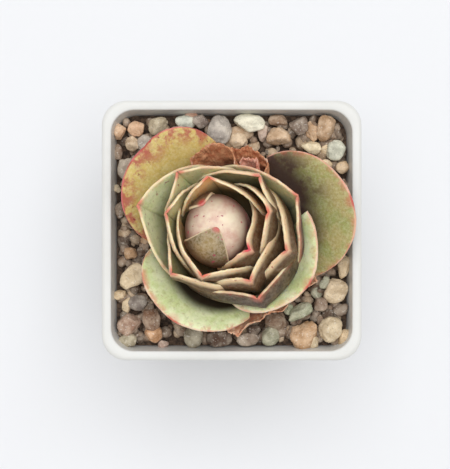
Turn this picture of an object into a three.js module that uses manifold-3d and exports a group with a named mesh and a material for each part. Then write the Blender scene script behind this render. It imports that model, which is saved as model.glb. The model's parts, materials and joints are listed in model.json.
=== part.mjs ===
// A cup-shaped rosette succulent growing in a small square pot of gravel.
// Millimetres, +Z up. The origin is the middle of the pot's foot, on the surface that it stands on.
import * as THREE from "three";
import { mergeVertices } from "three/addons/utils/BufferGeometryUtils.js";
import Module from "manifold-3d";

const wasm = await Module();
wasm.setup();

// Driving dimensions.
const GAP = 0.3; // left between pieces that touch
const POT = { top: 70, foot: 50, height: 65, wall: 1.6, lip: 2.6, lipDrop: 5 };
const POT_CORNER = { top: 4.8, foot: 6.5 };
const FLOOR = { underside: 3, thickness: 2, footRing: 1.8 };
const DRAIN = { middleRadius: 4, outerRadius: 3, outerReach: 14, count: 4, notch: 8, notchHeight: 1.5 };
const BED_TOP = 58.5; // the level that the loose stones lie on
const MOUTH = { x: -1.0, y: -0.45 }; // the middle of the rosette's open top
const ROOT_AXIS = { x: 1.2, y: -2.6 }; // the stem, from which the rosette leans over
const LEAN = { from: 84, to: 73 }; // the heights between which its middle moves across
const STEM = { collar: 56, top: 75.5, collarRadius: 3.4, topRadius: 2.5 };
const ROOT = { bottom: 18, radius: 2.4, sideCount: 5, sideRadius: 1.0, sideReach: 19 };
const LOWEST_LEAF = 60.8; // the height of the oldest leaf's root
const LEAF_PITCH = 0.66; // from one leaf's root up to the next one's
const BUD = { x: -3.9, y: 0.3, bottom: 75.8, top: 86.2, halfWidth: 8.3, halfDepth: 9.1 };
const BUD_LEAF = { thickness: 0.6, gap: 0.3 };

const COLOURS = {
  pot: 0xe9e9e3,
  mix: 0x7d6652,
  buff: 0xd2b48a,
  grey: 0x9d958a,
  green: 0xbfc7ae,
  brown: 0x8a6f5c,
  leaf: 0xa3a876,
  cup: 0xb5a37c,
  bud: 0xc0a596,
  dry: 0xa9623f,
  stem: 0x6f5a48,
};

const model = new THREE.Group();
function add(name, geometry, colour, roughness) {
  const finish = { color: COLOURS[colour], roughness, metalness: 0 };
  const mesh = new THREE.Mesh(geometry, new THREE.MeshStandardMaterial(finish));
  mesh.name = name;
  model.add(mesh);
}

// A closed geometry as a solid for cutting and joining, and back again.
function solidOf(geometry) {
  const bare = geometry.clone();
  for (const extra of ["normal", "uv"]) bare.deleteAttribute(extra);
  const merged = mergeVertices(bare, 1e-4);
  return new wasm.Manifold(
    new wasm.Mesh({
      numProp: 3,
      vertProperties: merged.attributes.position.array,
      triVerts: new Uint32Array(merged.index.array),
    }),
  );
}
function geometryOf(solid) {
  const mesh = solid.getMesh();
  return new THREE.BufferGeometry()
    .setAttribute("position", new THREE.BufferAttribute(mesh.vertProperties, 3))
    .setIndex(new THREE.BufferAttribute(mesh.triVerts, 1));
}

// Moves every vertex of a geometry to where place(point) puts it.
function reshape(geometry, place) {
  const points = geometry.attributes.position;
  const point = new THREE.Vector3();
  for (let i = 0; i < points.count; i++) {
    const moved = place(point.fromBufferAttribute(points, i));
    points.setXYZ(i, moved.x, moved.y, moved.z);
  }
  return geometry;
}

const radians = THREE.MathUtils.degToRad;
const lerp = THREE.MathUtils.lerp;
const fullTurn = 2 * Math.PI;

// ---- Pot: a lathe whose circles are squared up into rounded squares -------------------------
const CORNER_STEPS = 5;
const AROUND = 4 * (CORNER_STEPS + 1);

// The point numbered index on a rounded square with the given half side and corner radius.
function squarePoint(index, half, corner) {
  const side = Math.floor(index / (CORNER_STEPS + 1));
  const turn = ((index % (CORNER_STEPS + 1)) / CORNER_STEPS) * (Math.PI / 2);
  const squareTurn = side * (Math.PI / 2);
  const centre = new THREE.Vector2(half - corner, half - corner);
  const arc = new THREE.Vector2(Math.cos(turn), Math.sin(turn)).multiplyScalar(corner);
  return centre.add(arc).rotateAround(new THREE.Vector2(), squareTurn);
}

// The outer half side and corner radius at a height on the tapering wall.
const wallTop = POT.top - 2 * (POT.lip - POT.wall);
const wallHalf = (z) => lerp(POT.foot, wallTop, z / POT.height) / 2;
const cornerAt = (z) => lerp(POT_CORNER.foot, POT_CORNER.top, z / POT.height);
const innerHalf = (z) => wallHalf(z) - POT.wall;
const floorTop = FLOOR.underside + FLOOR.thickness;

// Turns a profile of [half side, height] pairs into a solid with rounded square sections.
function squareLathe(profile) {
  const outline = profile.map(([half, z]) => new THREE.Vector2(half, z));
  const step = fullTurn / AROUND;
  return reshape(new THREE.LatheGeometry(outline, AROUND), ({ x, y: height, z }) => {
    const half = Math.hypot(x, z);
    if (half < 1e-6) return new THREE.Vector3(0, 0, height);
    const index = (Math.round(Math.atan2(x, z) / step) + AROUND) % AROUND;
    const inset = wallHalf(height) - half;
    const corner = Math.max(Math.min(cornerAt(height) - inset, half * 0.9), 0.6);
    const flat = squarePoint(index, half, corner);
    return new THREE.Vector3(flat.x, flat.y, height);
  });
}

function potGeometry() {
  const top = POT.height;
  const lipHalf = POT.top / 2;
  const mouth = lipHalf - POT.lip;
  const footInside = wallHalf(0) - FLOOR.footRing;
  const profile = [
    [0, FLOOR.underside],
    [footInside, FLOOR.underside],
    [footInside, 0],
    [wallHalf(0), 0],
    [wallHalf(top - POT.lipDrop), top - POT.lipDrop],
    [lipHalf - 0.3, top - POT.lipDrop + 0.4],
    [lipHalf, top - 1.3],
    [lipHalf - 0.5, top - 0.3],
    [lipHalf - 1.3, top],
    [mouth + 0.4, top - 0.3],
    [mouth, top - 1.2],
    [innerHalf(top - 3), top - 3],
    [innerHalf(floorTop), floorTop],
    [0, floorTop],
  ];
  let solid = solidOf(squareLathe(profile));
  const drill = (radius, x, y) => {
    const bit = new THREE.CylinderGeometry(radius, radius, 8, 16).rotateX(Math.PI / 2);
    solid = solid.subtract(solidOf(bit.translate(x, y, FLOOR.underside)));
  };
  drill(DRAIN.middleRadius, 0, 0);
  for (let i = 0; i < DRAIN.count; i++) {
    const angle = (i / DRAIN.count) * fullTurn + Math.PI / 4;
    drill(DRAIN.outerRadius, DRAIN.outerReach * Math.cos(angle), DRAIN.outerReach * Math.sin(angle));
  }
  for (let i = 0; i < 4; i++) {
    const notch = new THREE.BoxGeometry(8, DRAIN.notch, 2 * DRAIN.notchHeight);
    notch.translate(wallHalf(0), 0, 0).rotateZ((i / 4) * fullTurn);
    solid = solid.subtract(solidOf(notch));
  }
  return geometryOf(solid);
}

// ---- Stem and roots, with room round them in the bed of grit --------------------------------

// The stem with its taproot and side roots, grown outwards by extra all over.
function stemSolid(extra) {
  const outline = [
    [0, ROOT.bottom - extra],
    [0.7 + extra, ROOT.bottom + 2],
    [ROOT.radius * 0.7 + extra, lerp(ROOT.bottom, STEM.collar, 0.5)],
    [ROOT.radius + extra, STEM.collar - 8],
    [STEM.collarRadius + extra, STEM.collar],
    [STEM.topRadius + extra, STEM.top + extra],
    [0, STEM.top + extra],
  ].map(([radius, z]) => new THREE.Vector2(radius, z));
  let solid = solidOf(new THREE.LatheGeometry(outline, 12).rotateX(Math.PI / 2));
  for (let i = 0; i < ROOT.sideCount; i++) {
    const turn = (i / ROOT.sideCount) * fullTurn + 0.4;
    const start = STEM.collar - 5 - 5 * i;
    const along = (reach, drop) =>
      new THREE.Vector3(reach * Math.cos(turn), reach * Math.sin(turn), start - drop);
    const reach = ROOT.sideReach - 2 * i;
    const route = new THREE.QuadraticBezierCurve3(along(0, 0), along(reach * 0.6, 2), along(reach, 12 - i));
    const section = new THREE.Shape().absarc(0, 0, ROOT.sideRadius + extra, 0, fullTurn);
    const side = { steps: 5, extrudePath: route, bevelEnabled: false, curveSegments: 6 };
    solid = solid.add(solidOf(new THREE.ExtrudeGeometry(section, side)));
  }
  return solid.translate([ROOT_AXIS.x, ROOT_AXIS.y, 0]);
}

// Settled grit that fills the pot up to the loose stones.
function bedGeometry() {
  const low = floorTop + GAP;
  const profile = [
    [0, low],
    [innerHalf(low) - GAP, low],
    [innerHalf(BED_TOP) - GAP, BED_TOP],
    [0, BED_TOP],
  ];
  return geometryOf(solidOf(squareLathe(profile)).subtract(stemSolid(GAP)));
}

// ---- Loose stones ---------------------------------------------------------------------------
// Each is worn smooth but not round. at: its middle. size: across its length, width and height.
const STONES = [
  { name: "olive", colour: "buff", at: [-19.8, 28.4], size: [5.6, 4.8, 4.2], turn: 20 },
  { name: "peach", colour: "buff", at: [-26.0, 27.6], size: [4.2, 4.0, 3.8], turn: 0 },
  { name: "back_left_grey", colour: "grey", at: [-23.0, 23.6], size: [5.2, 4.2, 4.0], turn: -15 },
  { name: "mint", colour: "green", at: [-12.6, 29.4], size: [5.6, 3.4, 3.6], turn: 0 },
  { name: "back_grey", colour: "grey", at: [-3.2, 27.4], size: [7.6, 6.0, 4.6], turn: 80 },
  { name: "cream", colour: "buff", at: [4.8, 29.2], size: [8.0, 4.6, 4.6], turn: -5 },
  { name: "pinkish", colour: "buff", at: [1.8, 24.4], size: [4.6, 3.8, 3.4], turn: 10 },
  { name: "tan", colour: "buff", at: [13.0, 25.4], size: [6.2, 4.4, 4.2], turn: -12 },
  { name: "back_brown", colour: "brown", at: [12.6, 30.0], size: [5.0, 2.6, 3.4], turn: 0 },
  { name: "taupe", colour: "brown", at: [18.2, 28.6], size: [5.2, 4.6, 4.4], turn: 70 },
  { name: "tan_slab", colour: "brown", at: [25.4, 27.6], size: [6.6, 4.2, 4.4], turn: 75 },
  { name: "mint_grey", colour: "green", at: [28.2, 21.8], size: [5.4, 4.4, 4.0], turn: 60 },
  { name: "light_buff", colour: "buff", at: [21.6, 22.6], size: [5.6, 3.4, 3.6], turn: -10 },
  { name: "back_right_cream", colour: "buff", at: [25.4, 17.4], size: [4.2, 3.6, 3.4], turn: 20 },
  { name: "left_grey", colour: "grey", at: [-28.6, 16.6], size: [6.2, 4.6, 4.2], turn: 85 },
  { name: "left_buff", colour: "buff", at: [-26.6, -12.6], size: [8.4, 5.4, 4.6], turn: 35 },
  { name: "dark_grey", colour: "grey", at: [-25.6, -19.6], size: [4.8, 4.0, 3.8], turn: 0 },
  { name: "pinkish_brown", colour: "brown", at: [-27.6, -25.4], size: [6.4, 5.0, 4.4], turn: 25 },
  { name: "orange_tan", colour: "buff", at: [-21.2, -27.8], size: [5.0, 4.2, 4.0], turn: -70 },
  { name: "grey_beige", colour: "green", at: [-10.4, -28.8], size: [5.4, 4.8, 4.6], turn: 90 },
  { name: "front_brown", colour: "brown", at: [-3.6, -29.2], size: [6.6, 4.2, 4.0], turn: 0 },
  { name: "beige_grey", colour: "grey", at: [4.4, -29.6], size: [5.8, 3.4, 3.6], turn: 5 },
  { name: "green_round", colour: "green", at: [10.6, -28.8], size: [4.8, 4.4, 4.2], turn: 80 },
  { name: "pale_green", colour: "green", at: [18.6, -22.2], size: [7.2, 3.4, 4.0], turn: 35 },
  { name: "large_tan", colour: "buff", at: [19.4, -28.0], size: [6.8, 6.2, 4.8], turn: 60 },
  { name: "front_right_buff", colour: "buff", at: [27.0, -26.4], size: [6.4, 5.6, 4.6], turn: 40 },
  { name: "right_buff", colour: "buff", at: [28.2, -16.6], size: [6.4, 5.4, 4.6], turn: 70 },
];

// Ripples the outline of stone number index, so that no two are alike.
function stoneGeometry({ at, size, turn }, index) {
  const [length, width, height] = size;
  return reshape(new THREE.IcosahedronGeometry(0.5, 1), (point) => {
    const ripple = Math.sin(7 * point.x + index) * Math.cos(6 * point.y - 2 * index);
    return point.multiplyScalar(1 + 0.07 * ripple);
  })
    .scale(length, width, height)
    .rotateZ(radians(turn))
    .translate(at[0], at[1], BED_TOP + height / 2 + GAP);
}

// ---- Leaves ---------------------------------------------------------------------------------

// The value on one arm of a leaf's rim, from its tip (share 0) to its end (share 1).
// A power below 1 makes the curve leave the tip steeply, which gives the leaf a pointed corner.
function alongArm(tip, middle, end, share, power) {
  const t = share ** power;
  return tip * (2 * t * t - 3 * t + 1) + middle * 4 * (t - t * t) + end * (2 * t * t - t);
}

// The leaf's rim at across, 0 at its start and 1 at its end, with the tip at 0.5.
function rimOf(leaf, across) {
  const first = across < 0.5;
  const share = Math.abs(2 * across - 1);
  const [start, early, tip, late, end] = leaf.radii;
  const [startTop, tipTop, endTop] = leaf.tops;
  return {
    share,
    azimuth: lerp(leaf.tip, first ? leaf.from : leaf.to, share),
    radius: alongArm(tip, first ? early : late, first ? start : end, share, leaf.power),
    top: lerp(tipTop, first ? startTop : endTop, share ** 1.5),
  };
}

// How far the rosette's middle has moved from its mouth at height z, as a share of the way.
function leanAt(z) {
  const depth = THREE.MathUtils.clamp((LEAN.from - z) / (LEAN.from - LEAN.to), 0, 1);
  return 1 - (1 - depth) ** 1.6;
}

// The middle of the blade at across and along, 0 at the root and 1 at the rim.
function bladePoint(leaf, across, along) {
  const rim = rimOf(leaf, across);
  const rootAzimuth = (leaf.from + leaf.to) / 2 + (2 * across - 1) * leaf.rootHalfAngle;
  const azimuth = lerp(rootAzimuth, rim.azimuth, 1 - (1 - along) ** 2);
  const belly = rim.radius + lerp(leaf.lean[0], leaf.lean[1], rim.share);
  const { x: radius, y: z } = new THREE.CubicBezierCurve(
    new THREE.Vector2(leaf.rootRadius, leaf.rootHeight),
    new THREE.Vector2(leaf.rootRadius + leaf.spread, leaf.rootHeight + leaf.rise),
    new THREE.Vector2(belly, lerp(rim.top, leaf.rootHeight, leaf.drop)),
    new THREE.Vector2(rim.radius, rim.top),
  ).getPoint(along);
  const turn = radians(azimuth);
  const upright = (1 - along) ** 2;
  const leaning = leanAt(z) - leanAt(rim.top) * along ** 2;
  const moved = lerp(leaning * leaf.tilt, 1, upright);
  return new THREE.Vector3(
    lerp(MOUTH.x, ROOT_AXIS.x, moved) + radius * Math.cos(turn),
    lerp(MOUTH.y, ROOT_AXIS.y, moved) + radius * Math.sin(turn),
    z,
  );
}

const LEAF_STEPS = { across: 8, along: 5 };

// A thin slab bent onto the leaf's blade, thickest in the middle and thin at its margin.
function leafGeometry(leaf) {
  const step = 1e-3;
  const slab = new THREE.BoxGeometry(1, 1, 1, LEAF_STEPS.across, LEAF_STEPS.along, 1);
  return reshape(slab, ({ x, y, z: side }) => {
    const across = x + 0.5;
    const along = y + 0.5;
    const point = bladePoint(leaf, across, along);
    const stepAcross = across > 0.5 ? -step : step;
    const stepAlong = along > 0.5 ? -step : step;
    const aside = bladePoint(leaf, across + stepAcross, along).sub(point).divideScalar(stepAcross);
    const onward = bladePoint(leaf, across, along + stepAlong).sub(point).divideScalar(stepAlong);
    const normal = aside.cross(onward).normalize();
    const edge = Math.max(Math.abs(2 * across - 1) ** 4, along ** 5);
    return point.addScaledVector(normal, side * leaf.thickness * (1 - 0.45 * edge));
  });
}

// How each row of leaves opens. spread and rise: how its blade leaves the stem. lean: how far the
// blade's belly stands outside its rim, at the tip and at the ends. drop: how low the belly is.
// tilt: how much it takes of the rosette's lean. power: below 1 its tip is a sharp corner.
const OPEN = { spread: 13, rise: 0.4, lean: [-4, -1.5], drop: 0.45, tilt: 1, thickness: 1.5, power: 1 };
const RING = { spread: 15, rise: 0.3, lean: [0.7, 0.5], drop: 0.55, tilt: 1, thickness: 1.1, power: 0.75 };
const CUP = { ...RING, spread: 12.5, tilt: 0.8, thickness: 1.0 };
const HEART = { ...CUP, spread: 10.5, lean: [1.4, 1.2], tilt: 0.45, thickness: 0.85 };
const DRY = { ...OPEN, spread: 14.5, rise: 0, lean: [-2, -1.5], drop: 0.4, thickness: 0.7, power: 0.9 };

// From the oldest in to the youngest: name, style, and the rim's azimuths, radii and heights.
// Azimuths are in degrees from +X towards +Y, at the rim's start, its tip and its end.
// Radii are at the start, between it and the tip, at the tip, past it, and at the end.
// Heights are at the start, the tip and the end.
const LEAVES = [
  ["dry_leaf_front_right", DRY, [-47, -29, -16], [21, 24.5, 27.3, 24, 22], [64, 66.5, 64]],
  ["dry_leaf_front", DRY, [262, 276, 309], [23, 26.3, 27.4, 24.8, 25.4], [66, 67, 68]],
  ["open_leaf_right", OPEN, [-28, 14, 62], [25.8, 32.4, 33.8, 31.2, 25.1], [71, 75, 72]],
  ["open_leaf_back_left", OPEN, [96, 134, 187], [23.6, 30.6, 31.4, 29.9, 22.0], [73, 76, 73]],
  ["open_leaf_front_left", OPEN, [191, 238, 284], [24.4, 26.3, 27.5, 26.5, 24.2], [74, 76, 73]],
  ["open_leaf_front_right", OPEN, [-92, -33, 15], [20.2, 23.4, 25.4, 23.8, 21.4], [76, 78, 78]],
  ["dry_leaf_back_right", DRY, [58, 74, 92], [22.4, 22.4, 22.6, 22.4, 22.0], [73.5, 74, 74]],
  ["dry_leaf_back", DRY, [82, 104, 119], [21.4, 22.6, 23.2, 22.4, 21.6], [77, 79, 77]],
  ["dry_flap_back", DRY, [65, 72, 80], [19.9, 20.1, 20.3, 20.1, 19.9], [76, 77, 76]],
  ["ring_leaf_left", RING, [104, 163.5, 220], [18.6, 22.0, 24.6, 20.7, 18.9], [79, 83, 80]],
  ["ring_leaf_right", RING, [-24, 28, 95], [19.2, 18.1, 20.4, 18.0, 18.1], [80, 84, 81]],
  ["ring_leaf_front", RING, [-130, -66, -18], [17.5, 15.4, 18.8, 17.1, 17.6], [79, 83, 81]],
  ["ring_leaf_back_left", RING, [72, 130.5, 172], [16.0, 17.5, 20.4, 17.6, 17.9], [82, 85, 82]],
  ["cup_leaf_front_left", CUP, [174, 216, 282], [15.9, 16.0, 18.3, 14.4, 13.9], [82, 85, 82]],
  ["cup_leaf_right", CUP, [-47, -17.5, 50], [13.9, 13.6, 15.9, 14.2, 15.7], [82, 85, 83]],
  ["cup_leaf_back_right", CUP, [13, 61, 126], [13.1, 13.3, 16.4, 15.3, 16.9], [85, 87, 84]],
  ["cup_leaf_front", CUP, [260, 294, 372], [12.0, 11.4, 13.8, 10.4, 12.3], [84, 86, 84]],
  ["cup_leaf_left", CUP, [118, 163.5, 233], [15.4, 15.5, 16.7, 14.3, 13.8], [84, 87, 84]],
  ["heart_leaf_right", HEART, [-46, 26, 84], [9.8, 8.9, 11.5, 12.1, 13.1], [85, 88, 86]],
  ["heart_leaf_front_left", HEART, [150, 240, 308], [14.3, 12.2, 13.0, 9.8, 10.0], [86, 88, 86]],
  ["heart_leaf_back", HEART, [33, 110, 157], [9.7, 11.0, 15.0, 13.8, 13.0], [87, 88.5, 86.5]],
  ["heart_leaf_front_right", HEART, [-100, -40, 40], [8.2, 6.3, 7.2, 5.0, 8.2], [86.5, 87.5, 85.5]],
].map(([name, style, [from, tip, to], radii, tops], order) => {
  const rootHeight = LOWEST_LEAF + LEAF_PITCH * order;
  const share = (rootHeight - STEM.collar) / (STEM.top - STEM.collar);
  const rootRadius = lerp(STEM.collarRadius, STEM.topRadius, share) + GAP + 0.35;
  const rootHalfAngle = Math.min(34, 0.45 * (to - from));
  return { ...style, name, from, tip, to, radii, tops, rootHeight, rootRadius, rootHalfAngle };
});

// ---- Bud ------------------------------------------------------------------------------------

// The bud's surface in the given direction from its middle, out by extra.
function budPoint(direction, extra) {
  const middle = (BUD.bottom + BUD.top) / 2;
  const halfHeight = (BUD.top - BUD.bottom) / 2;
  const below = Math.max(0, -direction.z);
  const narrowing = 1 - 0.25 * below * below;
  return new THREE.Vector3(
    BUD.x + (ROOT_AXIS.x - BUD.x) * below + direction.x * (BUD.halfWidth + extra) * narrowing,
    BUD.y + (ROOT_AXIS.y - BUD.y) * below + direction.y * (BUD.halfDepth + extra) * narrowing,
    middle + direction.z * (halfHeight + extra),
  );
}

const budGeometry = () => {
  const ball = new THREE.SphereGeometry(1, 16, 10).rotateX(Math.PI / 2);
  return reshape(ball, (point) => budPoint(point.clone(), 0));
};

// Young leaves still pressed on the bud. azimuth: of the leaf's middle line. tip and base: in
// degrees down from the bud's top. halfWidth: in degrees each way from the middle line.
const BUD_LEAVES = [
  { name: "bud_leaf_front", azimuth: 252, tip: -4, base: 98, halfWidth: 50 },
  { name: "bud_leaf_back_left", azimuth: 122, tip: 55, base: 98, halfWidth: 24 },
];

// A thin slab laid on the bud, which narrows to a tip towards the bud's top.
function budLeafGeometry({ azimuth, tip, base, halfWidth }) {
  return reshape(new THREE.BoxGeometry(2, 1, 1, 8, 6, 1), ({ x, y, z: side }) => {
    const along = y + 0.5;
    const down = radians(lerp(base, tip, along));
    const aside = radians(x * halfWidth * (1 - 0.97 * along ** 1.5) ** 0.8);
    const direction = new THREE.Vector3(
      Math.sin(down) * Math.cos(aside),
      Math.sin(aside),
      Math.cos(down) * Math.cos(aside),
    ).applyAxisAngle(new THREE.Vector3(0, 0, 1), radians(azimuth));
    const thickness = BUD_LEAF.thickness * (1 - 0.4 * along);
    return budPoint(direction, BUD_LEAF.gap + (side + 0.5) * thickness);
  });
}

// ---- The whole plant in its pot -------------------------------------------------------------
add("pot", potGeometry(), "pot", 0.35);
add("grit_bed", bedGeometry(), "mix", 0.95);
add("stem_and_roots", geometryOf(stemSolid(0)), "stem", 0.8);
STONES.forEach((stone, index) => {
  add(`stone_${stone.name}`, stoneGeometry(stone, index), stone.colour, 0.85);
});
for (const leaf of LEAVES) {
  const colour = leaf.name.startsWith("dry") ? "dry" : leaf.name.startsWith("open") ? "leaf" : "cup";
  add(leaf.name, leafGeometry(leaf), colour, 0.55);
}
add("bud", budGeometry(), "bud", 0.5);
for (const leaf of BUD_LEAVES) add(leaf.name, budLeafGeometry(leaf), "bud", 0.5);

export default model;
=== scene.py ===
"""Looks of a rosette succulent in a square pot of gravel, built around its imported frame."""

import json
import math
import random

import bpy
import numpy as np
from bpy.props import FloatProperty, FloatVectorProperty, PointerProperty
from mathutils import Euler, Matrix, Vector, noise


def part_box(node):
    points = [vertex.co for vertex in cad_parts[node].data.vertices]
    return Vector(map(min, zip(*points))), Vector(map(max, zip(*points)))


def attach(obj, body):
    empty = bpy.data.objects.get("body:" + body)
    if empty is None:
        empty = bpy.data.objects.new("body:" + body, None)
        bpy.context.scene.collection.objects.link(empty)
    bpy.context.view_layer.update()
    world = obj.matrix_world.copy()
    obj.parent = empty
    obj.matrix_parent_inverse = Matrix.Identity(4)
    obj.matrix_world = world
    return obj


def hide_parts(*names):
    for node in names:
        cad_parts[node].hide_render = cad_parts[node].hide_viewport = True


bl_info = {
    "name": "Potted rosette succulent",
    "version": (1, 0, 0),
    "blender": (4, 5, 0),
    "location": "View3D > Sidebar > Succulent",
    "description": "Grows a cup-shaped rosette in a square plastic pot of mixed gravel",
    "category": "Object",
}

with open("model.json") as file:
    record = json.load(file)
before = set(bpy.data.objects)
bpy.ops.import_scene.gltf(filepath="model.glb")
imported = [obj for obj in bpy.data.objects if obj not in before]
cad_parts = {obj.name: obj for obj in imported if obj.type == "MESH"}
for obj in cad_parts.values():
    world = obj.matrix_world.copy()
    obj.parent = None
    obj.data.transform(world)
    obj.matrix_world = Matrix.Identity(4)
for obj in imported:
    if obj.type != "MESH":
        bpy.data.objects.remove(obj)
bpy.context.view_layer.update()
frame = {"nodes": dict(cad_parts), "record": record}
NODE_SLOTS = {part["node"]: part["material_slot"] for part in frame["record"]["subparts"]}
MM = 0.001
BODY = "root"


# ---- Materials: what they share -------------------------------------------------------------


def linear(hex_colour):
    """An sRGB hex colour as linear red, green, blue and alpha."""
    shares = [int(hex_colour[i : i + 2], 16) / 255 for i in (1, 3, 5)]
    return (*[s / 12.92 if s <= 0.04045 else ((s + 0.055) / 1.055) ** 2.4 for s in shares], 1.0)


def feed(tree, node, inputs):
    """Gives each named input its value: a socket, a number, a tuple or an sRGB hex colour."""
    for name, value in inputs.items():
        if isinstance(value, bpy.types.NodeSocket):
            tree.links.new(value, node.inputs[name])
        else:
            node.inputs[name].default_value = linear(value) if isinstance(value, str) else value


def add_node(tree, kind, inputs=None, **settings):
    """Adds a shader node with its settings, and feeds its inputs."""
    made = tree.nodes.new(kind)
    for name, value in settings.items():
        setattr(made, name, value)
    feed(tree, made, inputs or {})
    return made


def new_material(name):
    """A material, its node tree, and its Principled shader, ready to be fed."""
    material = bpy.data.materials.new(name)
    material.use_nodes = True
    tree = material.node_tree
    tree.nodes.clear()
    shader = add_node(tree, "ShaderNodeBsdfPrincipled")
    add_node(tree, "ShaderNodeOutputMaterial", {"Surface": shader.outputs["BSDF"]})
    return material, tree, shader


def blotches(tree, size_mm, detail, roughness, stretch=None):
    """Random blotches about size_mm across, which stay put on the piece."""
    place = add_node(tree, "ShaderNodeTexCoord").outputs["Object"]
    if stretch:
        place = add_node(tree, "ShaderNodeMapping", {"Vector": place, "Scale": stretch}).outputs[0]
    inputs = {"Vector": place, "Scale": 1 / (size_mm * MM)}
    inputs |= {"Detail": detail, "Roughness": roughness}
    return add_node(tree, "ShaderNodeTexNoise", inputs).outputs["Fac"]


def fade(tree, by, low, high, start=0.0, end=1.0):
    """A share that eases from start to end as a number goes from low to high. The number is a
    socket, or the label that the mesh's points hold it under."""
    if isinstance(by, str):
        by = add_node(tree, "ShaderNodeAttribute", attribute_name=by).outputs["Fac"]
    inputs = {"Value": by, "From Min": low, "From Max": high, "To Min": start, "To Max": end}
    return add_node(tree, "ShaderNodeMapRange", inputs, interpolation_type="SMOOTHSTEP").outputs[0]


def patches(tree, size_mm, detail, roughness, low, high, start=0.0, end=1.0):
    """Patches about size_mm across: blotches, faded between two of their levels."""
    return fade(tree, blotches(tree, size_mm, detail, roughness), low, high, start, end)


def paint(tree, under, over, share, *others):
    """One colour laid over another, as much as the shares say when they are multiplied."""
    for other in others:
        inputs = {0: share, 1: other}
        share = add_node(tree, "ShaderNodeMath", inputs, operation="MULTIPLY").outputs[0]
    inputs = {0: share, 6: under, 7: over}
    return add_node(tree, "ShaderNodeMix", inputs, data_type="RGBA").outputs[2]


def relief(tree, size_mm, detail, roughness, strength, depth_mm):
    """Fine relief whose lumps are about size_mm across and depth_mm deep."""
    height = blotches(tree, size_mm, detail, roughness)
    inputs = {"Height": height, "Strength": strength, "Distance": depth_mm * MM}
    return add_node(tree, "ShaderNodeBump", inputs).outputs["Normal"]


def lit_through(weight, radius, depth_mm):
    """The shader's inputs for light that goes depth_mm into the surface and comes out again."""
    return {
        "Subsurface Weight": weight,
        "Subsurface Radius": radius,
        "Subsurface Scale": depth_mm * MM,
    }


# ---- Pieces: what they share ----------------------------------------------------------------


def deselect_all():
    """Leaves edit mode and lets go of every object, the frame's own among them."""
    if bpy.context.object and bpy.context.object.mode != "OBJECT":
        bpy.ops.object.mode_set(mode="OBJECT")
    bpy.ops.object.select_all(action="DESELECT")


def select_only(piece):
    deselect_all()
    piece.select_set(True)
    bpy.context.view_layer.objects.active = piece


def add_primitive(add, name, **settings):
    """Adds a primitive by one of Blender's operators, and names it."""
    deselect_all()
    add(**settings)
    bpy.context.object.name = name
    return bpy.context.object


def apply_modifier(piece, kind, **settings):
    """Adds a modifier with its settings and applies it."""
    select_only(piece)
    made = piece.modifiers.new(kind.title(), kind)
    for name, value in settings.items():
        setattr(made, name, value)
    bpy.ops.object.modifier_apply(modifier=made.name)


def turn_faces_out(piece):
    """Makes all faces of a closed piece point outwards."""
    select_only(piece)
    bpy.ops.object.mode_set(mode="EDIT")
    bpy.ops.mesh.select_all(action="SELECT")
    bpy.ops.mesh.normals_make_consistent(inside=False)
    bpy.ops.object.mode_set(mode="OBJECT")


def vertex_positions(piece):
    places = np.empty(len(piece.data.vertices) * 3)
    piece.data.vertices.foreach_get("co", places)
    return places.reshape(-1, 3)


def set_vertex_positions(piece, places):
    piece.data.vertices.foreach_set("co", np.asarray(places, float).ravel())
    piece.data.update()


def store_numbers(piece, name, numbers):
    """Stores one number a vertex under a name that a material can read."""
    layer = piece.data.attributes.new(name, "FLOAT", "POINT")
    layer.data.foreach_set("value", np.asarray(numbers, float).ravel())


def finish_piece(piece, material, slot, *nodes):
    """Gives a piece its material and its body, and hides the frame's nodes that it stands for. The
    slot is not used.
    """
    piece.data.materials.clear()
    piece.data.materials.append(material)
    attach(piece, BODY)
    if nodes:
        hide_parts(*nodes)


# ---- Settings -------------------------------------------------------------------------------


class PotSettings(bpy.types.PropertyGroup):
    wall: FloatProperty(
        name="Wall", description="Thickness of the pot's wall", default=1.6 * MM, unit="LENGTH"
    )
    lip: FloatProperty(
        name="Lip", description="Width of the rolled lip", default=2.6 * MM, unit="LENGTH"
    )
    lip_drop: FloatProperty(
        name="Lip drop", description="Height of the lip", default=5 * MM, unit="LENGTH"
    )
    colour: FloatVectorProperty(
        name="Plastic",
        description="Colour of the plastic",
        subtype="COLOR",
        size=4,
        default=linear("#d8d8d4"),
    )


class GravelSettings(bpy.types.PropertyGroup):
    grain: FloatProperty(
        name="Fine grain",
        description="Width of the grit between the stones",
        default=2.6 * MM,
        unit="LENGTH",
    )
    dark: FloatVectorProperty(
        name="Damp grit",
        description="Darker colour of the settled grit",
        subtype="COLOR",
        size=4,
        default=linear("#30241c"),
    )


class LeafSettings(bpy.types.PropertyGroup):
    flesh: FloatProperty(
        name="Flesh",
        description="How thick the living leaves are, against their usual thickness",
        default=1.0,
        subtype="FACTOR",
    )
    waviness: FloatProperty(
        name="Waviness",
        description="How far the rims of the living leaves stray from their line",
        default=0.22 * MM,
        unit="LENGTH",
    )


class StageSettings(bpy.types.PropertyGroup):
    floor: FloatVectorProperty(
        name="Floor",
        description="Colour of the floor",
        subtype="COLOR",
        size=4,
        default=linear("#e3e4e6"),
    )
    height: FloatProperty(
        name="Camera height",
        description="From the floor to the lens",
        default=0.515,
        unit="LENGTH",
    )


# ---- Pot ------------------------------------------------------------------------------------

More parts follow.
